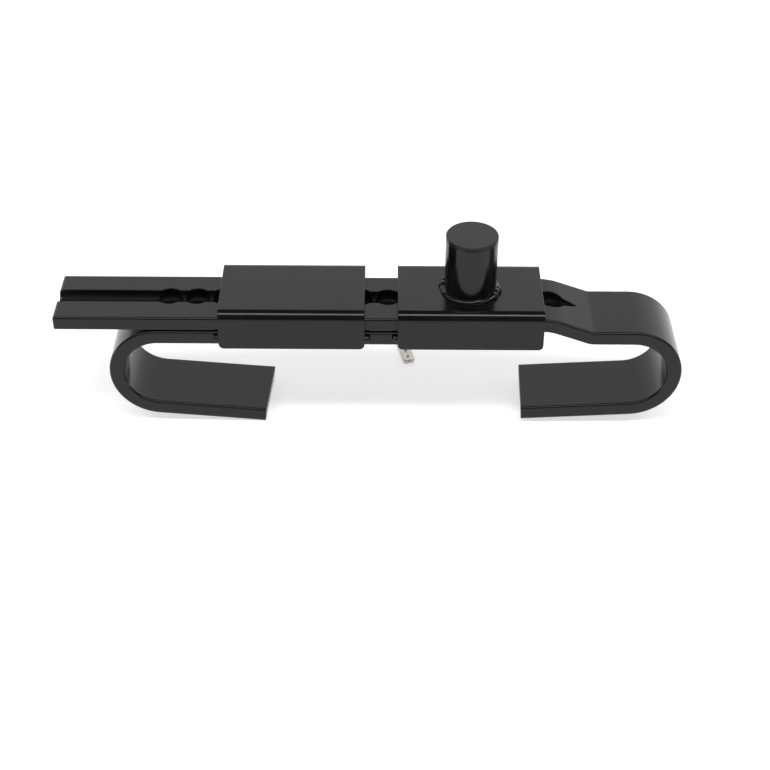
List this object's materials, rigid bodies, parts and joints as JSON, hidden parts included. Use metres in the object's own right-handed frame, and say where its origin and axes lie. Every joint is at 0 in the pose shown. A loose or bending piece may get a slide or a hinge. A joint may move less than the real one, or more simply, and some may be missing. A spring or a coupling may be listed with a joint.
{
  "type": "toggle bolt latch",
  "caption": "Adjustable J-hook lock for paired door rods: a slotted bar slides in two welded sleeves and a keyed push bolt in a round housing pins it at a hole.",
  "frame": {"origin": "rod seat of the fixed hook: the point on the underside of its flat bar, on the centre line, under which the first door rod stands", "axes": "+X along the bars from the fixed hook to the sliding hook, +Z away from the door and out of the key housing's mouth, +Y across the bars, up along the door rods"},
  "size_m": [0.3138, 0.1001, 0.1017],
  "materials": {
    "black_powder_coat": "smooth satin black powder coat over steel",
    "coated_weld": "rippled weld bead under the same black powder coat",
    "cap_plastic": "smooth black moulded plastic",
    "seal_rubber": "matt black nitrile",
    "lock_steel": "turned zinc-plated steel",
    "lock_brass": "turned brass",
    "spring_steel": "drawn spring wire",
    "nickel_plate": "nickel-plated brass, tumbled"
  },
  "bodies": {
    "lock_body": {"lower_hook_bar": "black_powder_coat", "guide_sleeve": "black_powder_coat", "lock_sleeve": "black_powder_coat", "housing_tube": "black_powder_coat", "housing_weld": "coated_weld", "guide_sleeve_seam_weld_front": "coated_weld", "guide_sleeve_seam_weld_rear": "coated_weld", "lock_sleeve_seam_weld_front": "coated_weld", "lock_sleeve_seam_weld_rear": "coated_weld", "guide_sleeve_left_end_weld_front": "coated_weld", "guide_sleeve_left_end_weld_rear": "coated_weld", "guide_sleeve_right_end_weld_front": "coated_weld", "guide_sleeve_right_end_weld_rear": "coated_weld", "lock_sleeve_end_weld_front": "coated_weld", "lock_sleeve_end_weld_rear": "coated_weld", "lock_shell": "lock_steel", "shell_roll_pin": "lock_steel", "barrel_stop_pin": "lock_steel", "return_spring": "spring_steel"},
    "sliding_hook": {"sliding_hook_bar": "black_powder_coat"},
    "barrel_body": {"barrel": "lock_brass", "driver_pin_1": "lock_steel", "driver_pin_2": "lock_steel", "driver_pin_3": "lock_steel", "driver_pin_4": "lock_steel", "tumbler_spring_1": "spring_steel", "tumbler_spring_2": "spring_steel", "tumbler_spring_3": "spring_steel", "tumbler_spring_4": "spring_steel"},
    "plug_body": {"plug": "lock_brass", "plug_circlip": "lock_steel", "bolt": "lock_steel", "bolt_cross_pin": "lock_steel", "key_pin_1": "lock_brass", "key_pin_2": "lock_brass", "key_pin_3": "lock_brass", "key_pin_4": "lock_brass"},
    "cap_body": {"weather_cap": "cap_plastic", "cap_o_ring": "seal_rubber"},
    "key_body": {"key": "nickel_plate"}
  },
  "joints": [
    {"name": "bar_slide", "type": "slide", "parent": "lock_body", "child": "sliding_hook", "axis": [1, 0, 0], "range_m": [-0.04095, 0.15015]},
    {"name": "barrel_push", "type": "slide", "parent": "lock_body", "child": "barrel_body", "axis": [0, 0, -1], "range_m": [0, 0.0034], "stiffness_N_per_m": 1200, "springref_m": -0.003, "deforming": ["return_spring"]},
    {"name": "plug_turn", "type": "hinge", "parent": "barrel_body", "child": "plug_body", "pos_m": [0.1504, 0, 0.03], "axis": [0, 0, 1], "range_deg": [0, 90]},
    {"name": "cap_pull", "type": "slide", "parent": "lock_body", "child": "cap_body", "axis": [0, 0, 1], "range_m": [0, 0.02]},
    {"name": "key_lift", "type": "slide", "parent": "lock_body", "child": "key_body", "axis": [0, 0, 1], "range_m": [0, 0.06]}
  ]
}
